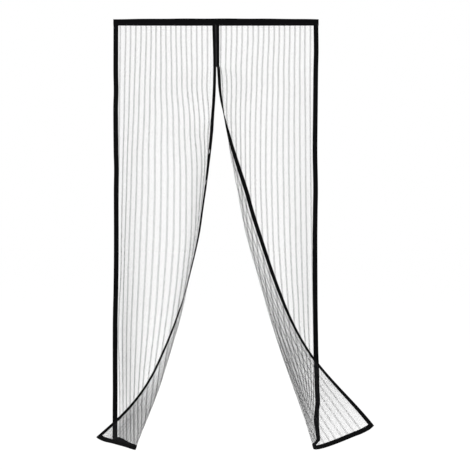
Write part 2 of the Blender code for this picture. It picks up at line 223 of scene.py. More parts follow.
def summed(values, step):
    """The running total of each row of values that lie one step apart, from nought."""
    halves = (values[:, 1:] + values[:, :-1]) / 2 * step
    return np.concatenate([np.zeros((len(values), 1)), np.cumsum(halves, axis=1)], axis=1)


class HangingPanel:
    """The middle surface of one panel, by how far across from its outer edge and how far down."""

    def __init__(self, side, drape, sleeve_twist):
        self.sleeve_twist = sleeve_twist
        self.down = np.linspace(0, SCREEN_LENGTH, SURFACE_ROWS)
        self.across = np.linspace(0, PANEL_WIDTH, SURFACE_COLUMNS)
        way = np.clip((self.down - SEAM_LENGTH) / (SCREEN_LENGTH - SEAM_LENGTH), 0, 1)
        now = {name: along_stations(way, values)[:, None] for name, values in drape.items()}
        heading = np.radians(now["turn"]) * eased(
            (self.across / PANEL_WIDTH - now["fold"]) / now["bend"] + 0.5
        )
        behind = self.across - SIDE_BAND
        heading = heading + np.radians(now["lean"]) * eased(behind / LEAN_START) * (
            1 - eased((behind - LEAN_HOLD) / LEAN_FADE)
        )
        heading = heading + np.radians(now["curl"]) * eased(
            (self.across - PANEL_WIDTH + CURL_FROM_EDGE) / CURL_WIDTH
        )
        edge = SCREEN_WIDTH / 2 + now["sway"] * PANEL_WIDTH
        x = edge - summed(np.cos(heading), self.across[1])
        y = -CLOTH_FORWARD - summed(np.sin(heading), self.across[1])
        step = self.down[1]
        slope = (np.diff(x, axis=0) / step) ** 2 + (np.diff(y, axis=0) / step) ** 2
        drop = np.sqrt(np.maximum(1 - slope, LEAST_DROP ** 2)) * step
        z = TOP_UP - np.concatenate([np.zeros((1, x.shape[1])), np.cumsum(drop, axis=0)])
        low = eased((self.down[:, None] - SLACK_FROM) / (SCREEN_LENGTH - SLACK_FROM))
        z = z + CORNER_SLACK * low * (1 - eased(self.across / drape["fold"][-1] / PANEL_WIDTH))
        self.places = np.stack([side * x, y, z], axis=2)
        normals = side * np.cross(
            np.gradient(self.places, axis=1), np.gradient(self.places, axis=0)
        )
        self.normals = normals / np.linalg.norm(normals, axis=2, keepdims=True)
        self.twist = np.cumsum(np.abs(np.gradient(heading[:, -1])))
        self.fold = now["fold"][:, 0] * PANEL_WIDTH

    def read(self, grid, across, down):
        """What a grid over the panel holds at these places, between its own points."""
        row = np.clip(down / self.down[1], 0, len(self.down) - 1.000001)
        column = np.clip(across / self.across[1], 0, len(self.across) - 1.000001)
        i, j = row.astype(int), column.astype(int)
        u, v = (row - i)[..., None], (column - j)[..., None]
        upper = grid[i, j] * (1 - v) + grid[i, j + 1] * v
        lower = grid[i + 1, j] * (1 - v) + grid[i + 1, j + 1] * v
        return upper * (1 - u) + lower * u

    def point(self, across, down, out=0.0):
        """Places this far from the outer edge and this far down, moved out of the front."""
        across, down, out = np.broadcast_arrays(
            *(np.asarray(value, float) for value in (across, down, out))
        )
        levels, angles = self.sleeve_twist
        turn = np.radians(along_stations(down, angles, levels)) * (across >= CENTRE_EDGE)
        beyond = across - CENTRE_EDGE
        across = CENTRE_EDGE + beyond * np.cos(turn) - out * np.sin(turn)
        out = out * np.cos(turn) + beyond * np.sin(turn)
        normal = self.read(self.normals, across, down)
        normal = normal / np.linalg.norm(normal, axis=-1, keepdims=True)
        return self.read(self.places, across, down) + normal * out[..., None]

    def levels(self, start, end, count):
        """Levels from start to end, closer together where the free edge twists."""
        reach = self.down + TWIST_REACH * self.twist
        first, last = np.interp((start, end), self.down, reach)
        levels = np.interp(np.linspace(first, last, count), reach, self.down)
        levels[0], levels[-1] = start, end
        return levels


PANELS = {
    "left": HangingPanel(-1, LEFT_DRAPE, SLEEVE_TWIST["left"]),
    "right": HangingPanel(1, RIGHT_DRAPE, SLEEVE_TWIST["right"]),
}


def shown_piece(name, points, faces, finish, metres=None):
    """A piece from its points and faces, with a map of cloth metres where a weave needs one."""
    mesh = bpy.data.meshes.new(name)
    mesh.from_pydata(points.tolist(), [], faces)
    if metres is not None:
        layer = mesh.uv_layers.new(name="cloth_metres")
        corners = np.empty(len(mesh.loops), int)
        mesh.loops.foreach_get("vertex_index", corners)
        layer.data.foreach_set("uv", metres[corners].ravel())
    mesh.materials.append(finish)
    piece = bpy.data.objects.new(name, mesh)
    bpy.context.scene.collection.objects.link(piece)
    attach(piece, "root")
    return piece


def math_node(nodes, links, operation, *values):
    """A sum worked on plain numbers and on what other nodes give."""
    node = nodes.new("ShaderNodeMath")
    node.operation = operation
    for socket, value in zip(node.inputs, values):
        if isinstance(value, (int, float)):
            socket.default_value = value
        else:
            links.new(value, socket)
    return node.outputs[0]


def noise(nodes, links, places, scale, detail):
    """Soft irregular blotches over a piece, from 0 to 1."""
    blotches = nodes.new("ShaderNodeTexNoise")
    blotches.inputs["Scale"].default_value = scale
    blotches.inputs["Detail"].default_value = detail
    links.new(places, blotches.inputs["Vector"])
    return blotches.outputs["Fac"]


def two_tones(nodes, links, amount, dark, light):
    """A colour that runs from dark to light as an amount goes from 0 to 1."""
    shade = nodes.new("ShaderNodeValToRGB")
    shade.color_ramp.elements[0].color = (*dark, 1)
    shade.color_ramp.elements[1].color = (*light, 1)
    links.new(amount, shade.inputs["Fac"])
    return shade.outputs["Color"]


CROSS_THREAD_PITCH = 0.0015
CROSS_THREAD_SHARE = 0.012
KNIT_WAVE = 0.0003
FINE_THREAD_PITCH = 0.0016
NET_UNDER_TOP = 0.002
NET_UNDER_SIDE = 0.009
NET_UNDER_EDGE = 0.003
NET_ROWS = 200
NET_COLUMNS = 110
YARN_TONES = ((0.006, 0.006, 0.007), (0.016, 0.016, 0.018))

net_finish, nodes, links = new_finish("sheer_net")
yarn = nodes["Principled BSDF"]
yarn.inputs["Roughness"].default_value = 0.7
yarn.inputs["Specular IOR Level"].default_value = 0.1
cloth_map = nodes.new("ShaderNodeUVMap")
cloth_map.uv_map = "cloth_metres"
split = nodes.new("ShaderNodeSeparateXYZ")
links.new(cloth_map.outputs[0], split.inputs[0])
turns = math_node(nodes, links, "MULTIPLY", split.outputs["X"], 2 * math.pi / FINE_THREAD_PITCH)
wave = math_node(nodes, links, "SINE", turns)
wave = math_node(nodes, links, "MULTIPLY", wave, KNIT_WAVE)
level = math_node(nodes, links, "ADD", split.outputs["Y"], wave)
course = math_node(nodes, links, "DIVIDE", level, CROSS_THREAD_PITCH)
course = math_node(nodes, links, "FRACT", course)
thread = math_node(nodes, links, "LESS_THAN", course, CROSS_THREAD_SHARE)
links.new(thread, yarn.inputs["Alpha"])
dye = noise(nodes, links, cloth_map.outputs[0], 60, 3)
dyed = two_tones(nodes, links, dye, *YARN_TONES)
links.new(dyed, yarn.inputs["Base Color"])

for side_name, panel in PANELS.items():
    downs = panel.levels(NET_UNDER_TOP, SCREEN_LENGTH - NET_UNDER_EDGE, NET_ROWS)
    acrosses = np.linspace(NET_UNDER_SIDE, PANEL_WIDTH - NET_UNDER_EDGE, NET_COLUMNS)
    across, down = np.meshgrid(acrosses, downs)
    points = panel.point(across, down).reshape(-1, 3)
    columns = len(acrosses)
    corner = (np.arange(len(downs) - 1)[:, None] * columns + np.arange(columns - 1)).ravel()
    faces = np.stack([corner, corner + columns, corner + columns + 1, corner + 1], axis=1)
    metres = np.stack([across.ravel(), down.ravel()], axis=1)
    net = shown_piece(f"{side_name}_net", points, faces.tolist(), net_finish, metres)
    net.data.shade_smooth()
    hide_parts(f"{side_name}_net_panel")


# The net's upright threads: eighteen stripes to a panel, each knitted of eight thicker threads, and
# between them fine flat threads that stand on edge, so the net darkens where it turns away. The
# net hangs a little loose, so its stripes wander, and a taut fold presses the fine threads flat.
STRIPE_PITCH = 0.0254
STRIPE_WIDTH = 0.008
STRIPE_THREADS = 8
STRIPE_THREAD = 0.00034
STRIPE_THREAD_DEPTH = 0.00012
FINE_THREAD_WIDTH = 0.00003
FINE_THREAD_DEPTH = 0.00040
FLATTENED_FROM = 2.6
EDGE_ON_LEVELS = (0.8, 1.2, 1.5, 1.65, 1.85, 2.05)
EDGE_ON_SHARES = {
    "left": (0.52, 0.72, 0.97, 1.08, 0.92, 0.70),
    "right": (0.52, 0.66, 0.97, 1.12, 1.05, 0.50),
}
BUNCHED = {"left": 0.2, "right": 0.0}
BUNCHED_BEFORE_FOLD = 0.16
BUNCHED_REACH = 0.08
LOOSE = {"left": 0.0, "right": 0.28}
LOOSE_FROM = 1.62
LOOSE_FADE = 0.25
LOOSE_PAST_FOLD = 0.08
LOOSE_REACH = 0.12
LEAST_FACING = 0.05
STRIPE_DRIFT = 0.0007
SHIFT_PLACES = (0.030, 0.062, 0.100, 0.140, 0.190, 0.240, 0.300, 0.360, 0.420, 0.475)
SHIFT_LEVELS = (0.10, 0.30, 0.52, 0.80, 1.05, 1.25, 1.40, 1.55, 1.70, 1.85)
SHIFTS = {
    "left": (
        (-2, -2, -2, -2, -4, -7, -10, -11, -11, -9),
        (-5, -6, -7, -8, -7, -6, -4, -4, -7, -8),
        (-8, -8, -12, -10, -6, 1, 8, 12, 8, 2),
        (-11, -15, -18, -13, -3, 7, 21, 29, 35, 19),
        (-15, -21, -27, -21, -9, 5, 21, 30, 35, 29),
        (-19, -24, -33, -25, -14, -2, 13, 18, 24, 28),
        (-24, -32, -35, -29, -20, -9, -1, 0, 9, 20),
        (-26, -36, -37, -32, -24, -20, -19, -15, -5, 7),
        (-25, -30, -35, -33, -33, -36, -38, -31, -19, -7),
        (-21, -27, -34, -36, -44, -51, -53, -46, -34, -21),
    ),
    "right": (
        (1, 2, 1, 1, 1, 0, 1, 3, 5, 6),
        (2, 3, 4, 6, 8, 9, 11, 11, 10, 9),
        (1, 2, 6, 9, 13, 17, 19, 16, 10, 8),
        (-1, 2, 5, 11, 17, 23, 22, 15, 9, 6),
        (-5, -2, 4, 9, 15, 17, 17, 13, 8, 4),
        (-8, -6, 0, 3, 5, 8, 10, 9, 6, 4),
        (-10, -9, -7, -6, -5, -1, 2, 4, 4, 3),
        (-11, -11, -12, -12, -11, -8, -4, -1, 1, 2),
        (-12, -14, -16, -17, -16, -13, -10, -6, -2, 1),
        (-13, -16, -19, -20, -20, -18, -15, -11, -6, 0),
    ),
}
DRAWN_PLACES = (0.03, 0.24, 0.468)
DRAWN = (0, 0.150, 0.032)
DRAWN_FROM = 1.45
DRAWN_FADE = 0.55
THREAD_ROWS = 96
THREAD_LAP = 0.004
FINE_THREADS_START = 0.001
SEARCHED_LEVELS = 400

thread_finish, nodes, links = new_finish("net_thread")
yarn = nodes["Principled BSDF"]
yarn.inputs["Roughness"].default_value = 0.7
yarn.inputs["Specular IOR Level"].default_value = 0.1
place = nodes.new("ShaderNodeTexCoord")
dye = noise(nodes, links, place.outputs["Object"], 45, 3)
dyed = two_tones(nodes, links, dye, *YARN_TONES)
links.new(dyed, yarn.inputs["Base Color"])


def stripe_centres():
    """How far across each stripe lies at the top, in the middle of the net that shows."""
    shown = CENTRE_EDGE - SIDE_BAND
    count = int((shown - STRIPE_WIDTH) / STRIPE_PITCH) + 1
    first = SIDE_BAND + (shown - (count - 1) * STRIPE_PITCH) / 2
    return first + np.arange(count) * STRIPE_PITCH


def spread_out(side_name, across, down):
    """How far across a stripe lies at this level, when it starts this far across at the top."""
    shifts = [np.interp(across, SHIFT_PLACES, row) / 1000 for row in SHIFTS[side_name]]
    place = across + along_stations(down, shifts, SHIFT_LEVELS)
    if side_name == "right":
        drawn = across - np.interp(across, DRAWN_PLACES, DRAWN)
        place = place + (drawn - place) * eased((down - DRAWN_FROM) / DRAWN_FADE)
    return place


def thread_rise(side_name, panel, across, down):
    """How far a thread stands on edge: less high up, at a taut fold and in a loose corner."""
    facing = panel.read(panel.normals, across, down)
    steep = np.abs(facing[..., 0]) / np.maximum(np.abs(facing[..., 1]), LEAST_FACING)
    share = np.interp(down, EDGE_ON_LEVELS, EDGE_ON_SHARES[side_name])
    beyond = across - np.interp(down, panel.down, panel.fold)
    low = eased((down - LOOSE_FROM) / LOOSE_FADE)
    loose = low * eased((beyond - LOOSE_PAST_FOLD) / LOOSE_REACH)
    bunched = eased((beyond + BUNCHED_BEFORE_FOLD) / BUNCHED_REACH)
    share = share * (1 - LOOSE[side_name] * loose) * (1 + BUNCHED[side_name] * bunched)
    return share / (1 + (steep / FLATTENED_FROM) ** 3)


def tube_faces(count, rings, sides):
    """Faces of closed tubes, each a run of rings of points with both ends capped."""
    ring = np.arange(sides)
    after = np.roll(ring, -1)
    last = (rings - 1) * sides
    wall = np.arange(0, last, sides)[:, None]
    quads = np.stack([wall + ring, wall + after, wall + sides + after, wall + sides + ring], axis=2)
    starts = np.arange(count)[:, None] * rings * sides
    faces = (starts[:, :, None] + quads.reshape(1, -1, 4)).reshape(-1, 4).tolist()
    faces += (starts + ring[::-1]).tolist()
    faces += (starts + last + ring).tolist()
    return faces


def upright_threads(side_name, kind, across, down, section):
    """A piece of threads along these places, each a closed tube of this section."""
    panel = PANELS[side_name]
    section = np.array(section)
    faces = tube_faces(len(across), across.shape[1], len(section))
    across, down = across[:, :, None], down[:, :, None]
    raised = section[:, 1] * thread_rise(side_name, panel, across, down)
    points = panel.point(across + section[:, 0], down, raised).reshape(-1, 3)
    return shown_piece(f"{side_name}_{kind}", points, faces, thread_finish)


chance = np.random.default_rng(7)
for side_name, panel in PANELS.items():
    top, bottom = TOP_BAND - THREAD_LAP, HEM_TOP + THREAD_LAP
    across, down = [], []
    for centre in stripe_centres():
        searched = np.linspace(top, bottom, SEARCHED_LEVELS)
        hidden = spread_out(side_name, centre, searched) > CENTRE_EDGE + THREAD_LAP
        end = searched[np.argmax(hidden)] if hidden.any() else bottom
        downs = panel.levels(top, end, THREAD_ROWS)
        swing = STRIPE_DRIFT * np.sin(downs * chance.uniform(2, 6) + chance.uniform(0, 6))
        for k in range(STRIPE_THREADS):
            start = centre + ((k + 0.5) / STRIPE_THREADS - 0.5) * STRIPE_WIDTH
            across.append(spread_out(side_name, start, downs) + swing)
            down.append(downs)
    half, deep = STRIPE_THREAD / 2, STRIPE_THREAD_DEPTH / 2
    ribbon = ((-half, -deep), (half, -deep), (half, deep), (-half, deep))
    across, down = np.array(across), np.array(down)
    stripes = upright_threads(side_name, "stripes", across, down, ribbon)

    fine = np.arange(SIDE_BAND + FINE_THREADS_START, CENTRE_EDGE, FINE_THREAD_PITCH)
    downs = panel.levels(top, bottom, THREAD_ROWS)
    across, down = np.meshgrid(fine, downs, indexing="ij")
    half, deep = FINE_THREAD_WIDTH / 2, FINE_THREAD_DEPTH / 2
    edge_on = ((-half, -deep), (half, -deep), (0, deep))
    uprights = upright_threads(side_name, "fine_threads", across, down, edge_on)


# The side bindings: black woven tape, folded round the outer edge of each panel and sewn through
# near its inner edge. They hang almost straight, with the small waves that sewing leaves.
TAPE_HALF = 0.0013
TAPE_NOSE = 0.0010
TAPE_EDGE = 0.82
SIDE_SPARE = 0.0022
TAPE_GAP = 0.0003
PUCKER = 0.12
PUCKER_RATE = 55
UNEVENNESS = 2.0
UNEVEN_RATE = 13
SHARP_BEND = 50
SIDE_RINGS = 240
TAPE_TONES = ((0.0008, 0.0008, 0.001), (0.004, 0.004, 0.0045))
SIDE_WAVES = {
    "left": ((0.03, 0.25, 0.35, 0.44, 0.64, 0.74, 0.84, 1.13, 1.32, 1.42, 1.52, 1.81, 1.91, 2.08),
             (0.5, 0, 1.5, -0.5, 1, 3.2, 2, 2.8, 1.5, -0.5, -1.6, -1.1, -2, -3)),
    "right": ((0.05, 0.15, 0.25, 0.44, 0.64, 0.84, 0.93, 1.23, 1.42, 1.62, 1.72, 1.82, 1.87,
               1.90, 1.93, 1.97, 2.02, 2.06),
              (1.5, 2.5, 0.5, -1.5, -3.4, -0.5, -2, -4.4, -3.5, -3.3, -1, 0, 2, 0, -4, -6, -3, 0)),
}


def relief(nodes, links, shader, height, strength, depth):
    """Raises a shader's surface in relief where a height between 0 and 1 is greater."""
    bump = nodes.new("ShaderNodeBump")
    bump.inputs["Strength"].default_value = strength
    bump.inputs["Distance"].default_value = depth
    links.new(height, bump.inputs["Height"])
    links.new(bump.outputs["Normal"], shader.inputs["Normal"])
    return bump


tape_finish, nodes, links = new_finish("woven_black_tape")
weave = nodes["Principled BSDF"]
weave.inputs["Roughness"].default_value = 0.9
weave.inputs["Specular IOR Level"].default_value = 0.04
weave.inputs["Sheen Weight"].default_value = 0.005
weave.inputs["Sheen Roughness"].default_value = 0.5
cloth_map = nodes.new("ShaderNodeUVMap")
cloth_map.uv_map = "cloth_metres"
ribs = nodes.new("ShaderNodeTexWave")
ribs.bands_direction = "DIAGONAL"
ribs.inputs["Scale"].default_value = 260
ribs.inputs["Distortion"].default_value = 0.6
ribs.inputs["Detail"].default_value = 2
links.new(cloth_map.outputs[0], ribs.inputs["Vector"])
picks = nodes.new("ShaderNodeTexWave")
picks.bands_direction = "Y"
picks.inputs["Scale"].default_value = 300
picks.inputs["Distortion"].default_value = 0.4
links.new(cloth_map.outputs[0], picks.inputs["Vector"])
height = math_node(nodes, links, "MULTIPLY", ribs.outputs["Fac"], picks.outputs["Fac"])
relief(nodes, links, weave, height, 0.6, 0.0002)
wear = noise(nodes, links, cloth_map.outputs[0], 25, 4)
mixed = math_node(nodes, links, "MULTIPLY_ADD", wear, 0.5, height)
dyed = two_tones(nodes, links, mixed, *TAPE_TONES)
links.new(dyed, weave.inputs["Base Color"])


def tape_outline(inner, outer, half=TAPE_HALF, count=7):
    """A flattened tape in section, from its inner edge to the folded outer one and back."""
    way = 1 if outer > inner else -1
    ways = np.linspace(0, 1, count)
    crown = half * (TAPE_EDGE + (1 - TAPE_EDGE) * np.sin(np.pi * ways))
    tip = outer - way * TAPE_NOSE
    front = np.stack([inner + (tip - inner) * ways, crown], axis=1)
    nose = np.radians(np.linspace(60, -60, 5))
    rounded = np.stack([tip + way * TAPE_NOSE * np.cos(nose), crown[-1] * np.sin(nose)], axis=1)
    return np.concatenate([front, rounded, front[::-1] * (1, -1)])


def tape_piece(name, points, finish, along, outline):
    """A closed body through rings of points, with its two ends capped and a map for its weave."""
    faces = tube_faces(1, *points.shape[:2])
    steps = np.linalg.norm(np.diff(outline, axis=0), axis=1)
    round_it = np.concatenate([[0.0], np.cumsum(steps)])
    metres = np.stack(np.broadcast_arrays(round_it, along[:, None]), axis=2).reshape(-1, 2)
    piece = shown_piece(name, points.reshape(-1, 3), faces, finish, metres)
    mesh = piece.data
    if sum(face.center.dot(face.normal) * face.area for face in mesh.polygons) < 0:
        mesh.flip_normals()
    mesh.shade_smooth()
    mesh.set_sharp_from_angle(angle=math.radians(SHARP_BEND))
    return piece


for side_name, panel in PANELS.items():
    outline = tape_outline(SIDE_BAND + SIDE_SPARE, 0.0)
    downs = np.linspace(TOP_BAND + TAPE_GAP, SCREEN_LENGTH, SIDE_RINGS)[:, None]
    levels, shifts = SIDE_WAVES[side_name]
    wave = along_stations(downs, shifts, levels) / 1000
    uneven = UNEVENNESS * np.sin(downs * UNEVEN_RATE)
    puckered = 1 + PUCKER * np.sin(downs * PUCKER_RATE + uneven)
    points = panel.point(outline[:, 0], downs, outline[:, 1] * puckered)
    points[..., 0] += wave
    tape = tape_piece(
        f"{side_name}_side_tape", points, tape_finish, downs[:, 0], outline
    )
    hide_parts(f"{side_name}_side_binding")


# The centre bindings: the same tape round each free edge, sewn as a narrow sleeve that holds the
# magnets. The tape stands proud over each magnet and lies flatter between them, and the two are
# sewn edge to edge above the parting.
MAGNET_LENGTH = 0.020
MAGNET_WIDTH = 0.007
MAGNET_THICKNESS = 0.0018
MAGNET_PITCH = 0.150
MAGNET_BELOW_SEAM = 0.016
MAGNET_SWELL = 0.0006
SWELL_REACH = 0.013
SLEEVE_HALF = 0.0016
SLEEVE_RINGS = 380
CREST_STRETCH = 1.15
CREST_START = 0.1
SEAM_TAKES = 0.0022
TAKES_UNTIL = 0.40
TAKES_FADE = 0.25
SEAM_DRIFT = 0.0025
DRIFT_GROWS = 0.20
DRIFT_UNTIL = 0.35
DRIFT_FADE = 0.12
CENTRE_WAVES = {
    "left": ((0.23, 0.30, 0.34, 0.37, 0.43, 0.485, 0.518, 0.57, 0.608, 0.64, 0.67, 0.87, 1.0),
             (0, 1.7, 2.9, 2.6, -0.8, -4.6, -5.5, -1.5, 2.5, 2.9, 2.0, 2.4, 0)),
    "right": ((0.30, 0.35, 0.385, 0.42, 0.46, 0.50, 0.54, 0.585, 0.63, 0.67, 0.71, 0.75, 0.80),
              (0, -2, -2.5, -0.9, 2.3, 3.5, 1, -1.7, -3.5, -3.9, -2.4, -1, 0)),
}

first_magnet = SEAM_LENGTH + MAGNET_BELOW_SEAM
above = int((first_magnet - TOP_BAND - MAGNET_LENGTH) / MAGNET_PITCH)
below = int((HEM_TOP - first_magnet - MAGNET_LENGTH) / MAGNET_PITCH)
magnet_downs = first_magnet + MAGNET_PITCH * np.arange(-above, below + 1)

for side_name, panel in PANELS.items():
    outline = tape_outline(CENTRE_EDGE, PANEL_WIDTH, SLEEVE_HALF, count=9)
    downs = panel.levels(TOP_BAND + TAPE_GAP, SCREEN_LENGTH, SLEEVE_RINGS)[:, None]
    near = np.abs(downs - magnet_downs).min(axis=1, keepdims=True)
    swell = MAGNET_SWELL * (1 - eased((near - MAGNET_LENGTH / 2) / SWELL_REACH))
    way = (outline[:, 0] - CENTRE_EDGE) / CENTRE_BAND
    arch = np.sin(np.pi * np.clip(way * CREST_STRETCH - CREST_START, 0, 1))
    crest = arch * np.sign(outline[:, 1])
    taken = SEAM_TAKES * eased(downs / SEAM_LENGTH)
    taken = taken * (1 - eased((downs - TAKES_UNTIL) / TAKES_FADE))
    across = outline[:, 0] + taken * (1 - way)
    points = panel.point(across, downs, outline[:, 1] + swell * crest)
    drift = SEAM_DRIFT * eased(downs / DRIFT_GROWS)
    points[..., 0] += drift * (1 - eased((downs - DRIFT_UNTIL) / DRIFT_FADE))
    levels, shifts = CENTRE_WAVES[side_name]
    points[..., 0] += along_stations(downs, shifts, levels) / 1000
    tape = tape_piece(
        f"{side_name}_centre_tape", points, tape_finish, downs[:, 0], outline
    )
    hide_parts(f"{side_name}_centre_binding")


# The magnets: flat plated bars with rounded corners, thirteen to a side, each lying in the middle
# of its stretch of the centre sleeve.
MAGNET_BEVEL = 0.0011
MAGNET_INTO_SLEEVE = 0.52
MAGNET_LAYERS = ((-1, 0.93), (-0.8, 1.0), (0.8, 1.0), (1, 0.93))
PLATE_TONES = ((0.36, 0.36, 0.37), (0.50, 0.50, 0.50))

magnet_finish, nodes, links = new_finish("plated_magnet")
plate = nodes["Principled BSDF"]
plate.inputs["Metallic"].default_value = 1.0
place = nodes.new("ShaderNodeTexCoord")
scuff = noise(nodes, links, place.outputs["Object"], 900, 4)
tone = two_tones(nodes, links, scuff, *PLATE_TONES)
links.new(tone, plate.inputs["Base Color"])
rough = math_node(nodes, links, "MULTIPLY_ADD", scuff, 0.25, 0.2)
links.new(rough, plate.inputs["Roughness"])

half_w, half_l, cut = MAGNET_WIDTH / 2, MAGNET_LENGTH / 2, MAGNET_BEVEL
magnet_corners = np.array(
    [(half_w - cut, half_l), (half_w, half_l - cut), (half_w, cut - half_l),
     (half_w - cut, -half_l), (cut - half_w, -half_l), (-half_w, cut - half_l),
     (-half_w, half_l - cut), (cut - half_w, half_l)]
)
for side_name, panel in PANELS.items():
    for number, down in enumerate(magnet_downs, start=1):
        layers = []
        for out, shrink in MAGNET_LAYERS:
            middle = CENTRE_EDGE + CENTRE_BAND * MAGNET_INTO_SLEEVE
            across = middle + magnet_corners[:, 0] * shrink
            level = down + magnet_corners[:, 1] * shrink
            layers.append(panel.point(across, level, out * MAGNET_THICKNESS / 2))
        magnet = shown_piece(
            f"{side_name}_bar_magnet_{number:02d}", np.concatenate(layers),
            tube_faces(1, len(MAGNET_LAYERS), len(magnet_corners)), magnet_finish,
        )
        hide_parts(f"{side_name}_magnet_{number:02d}")


# The bottom hems: tape folded round the lower edge of each panel, between its two upright
# bindings, bending with the cloth at the fold.
HEM_LAP = 0.0005
HEM_RINGS = 150

for side_name, panel in PANELS.items():
    outline = tape_outline(HEM_TOP, SCREEN_LENGTH)
    acrosses = np.linspace(SIDE_BAND - HEM_LAP, CENTRE_EDGE + HEM_LAP, HEM_RINGS)[:, None]
    points = panel.point(acrosses, outline[:, 0], outline[:, 1])
    tape = tape_piece(
        f"{side_name}_hem_tape", points, tape_finish, acrosses[:, 0], outline
    )
    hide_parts(f"{side_name}_bottom_hem")


# The weights: a soft strip of dull lead in each bottom hem, near the free corner, which keeps the
# edge from blowing about. It bends with the hem.
LEAD_LENGTH = 0.100
LEAD_WIDTH = 0.008
LEAD_THICKNESS = 0.0014
LEAD_FROM_CORNER = 0.030
LEAD_UP = 0.0030
LEAD_BEVEL = 0.0006
LEAD_EDGE = 0.7
LEAD_RINGS = 30
LEAD_TONES = ((0.15, 0.15, 0.17), (0.28, 0.28, 0.30))

lead_finish, nodes, links = new_finish("dull_lead")
metal = nodes["Principled BSDF"]
metal.inputs["Metallic"].default_value = 1.0
place = nodes.new("ShaderNodeTexCoord")
dents = noise(nodes, links, place.outputs["Object"], 350, 5)
tone = two_tones(nodes, links, dents, *LEAD_TONES)
links.new(tone, metal.inputs["Base Color"])
rough = math_node(nodes, links, "MULTIPLY_ADD", dents, 0.3, 0.45)
links.new(rough, metal.inputs["Roughness"])
relief(nodes, links, metal, dents, 0.4, 0.0002)

low = SCREEN_LENGTH - LEAD_UP
high = low - LEAD_WIDTH
half = LEAD_THICKNESS / 2
edge = LEAD_EDGE * half
bar = np.array(
    [(high, edge), (high + LEAD_BEVEL, half), (low - LEAD_BEVEL, half), (low, edge),
     (low, -edge), (low - LEAD_BEVEL, -half), (high + LEAD_BEVEL, -half), (high, -edge)]
)
for side_name, panel in PANELS.items():
    end = CENTRE_EDGE - LEAD_FROM_CORNER
    acrosses = np.linspace(end - LEAD_LENGTH, end, LEAD_RINGS)[:, None]
    points = panel.point(acrosses, bar[:, 0], bar[:, 1])
    strip = tape_piece(f"{side_name}_weight", points, lead_finish, acrosses[:, 0], bar)
    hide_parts(f"{side_name}_hem_lead")


# The top binding: one length of the same tape, folded over the upper edges of both panels from
# side to side of the doorway. It carries the whole screen and bows up a little in the middle.
TOP_HALF = 0.0017
TOP_BOW = 0.0036
TOP_DIP = 0.0022
TOP_TURNED_DOWN = 0.0042
TOP_END = 0.0025
TOP_RIPPLE = 0.0004
RIPPLE_RATE = 31
TOP_PUCKER = 0.08
TOP_PUCKER_RATE = 60
BOW_ROUNDNESS = 2.5
TOP_RINGS = 200

outline = tape_outline(-TOP_BAND - TOP_TURNED_DOWN, 0.0, TOP_HALF, count=9)
acrosses = np.linspace(-SCREEN_WIDTH / 2, SCREEN_WIDTH / 2 + TOP_END, TOP_RINGS)[:, None]
share = np.abs(acrosses / (SCREEN_WIDTH / 2))
bow = TOP_BOW * (1 - share ** BOW_ROUNDNESS) - TOP_DIP
bow = bow + TOP_RIPPLE * np.sin(acrosses * RIPPLE_RATE)
puckered = 1 + TOP_PUCKER * np.sin(acrosses * TOP_PUCKER_RATE)
grown = (outline[:, 0] + TOP_BAND) / TOP_BAND
points = np.stack(
    np.broadcast_arrays(
        acrosses,
        -CLOTH_FORWARD - outline[:, 1] * puckered,
        TOP_UP + outline[:, 0] + bow * grown,
    ),
    axis=2,
)
top_tape = tape_piece("top_tape", points, tape_finish, acrosses[:, 0], outline)
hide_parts("top_binding")


# The hook-and-loop tape on the back of the top and side bindings, which presses onto a matching
# tape on the door frame. Its face is a dense felt of tiny loops.
FASTENING_THICKNESS = 0.0016
TOP_FASTENING_WIDTH = 0.020
SIDE_FASTENING_WIDTH = 0.015
FASTENING_INSET = 0.004
FASTENING_BACK = TAPE_HALF + TAPE_GAP + FASTENING_THICKNESS
FASTENING_SOFT_EDGE = 0.0004
TOP_FASTENING_RINGS = 60
SIDE_FASTENING_RINGS = 160
LOOP_TONES = ((0.020, 0.020, 0.021), (0.004, 0.004, 0.005))

loop_finish, nodes, links = new_finish("loop_tape")
felt = nodes["Principled BSDF"]
felt.inputs["Roughness"].default_value = 1.0
felt.inputs["Specular IOR Level"].default_value = 0.05
felt.inputs["Sheen Weight"].default_value = 0.05
place = nodes.new("ShaderNodeTexCoord")
loops = nodes.new("ShaderNodeTexVoronoi")
loops.inputs["Scale"].default_value = 1400
links.new(place.outputs["Object"], loops.inputs["Vector"])
tone = two_tones(nodes, links, loops.outputs["Distance"], *LOOP_TONES)
links.new(tone, felt.inputs["Base Color"])
relief(nodes, links, felt, loops.outputs["Distance"], 0.8, 0.0004).invert = True


def strip_outline(near, far, front, back):
    """A strip in section: square where it is sewn on, and softer along its felt face."""
    soft = FASTENING_SOFT_EDGE
    return np.array(
        [(near, front), (far, front), (far, back + soft), (far - soft, back),
         (near + soft, back), (near, back + soft)]
    )


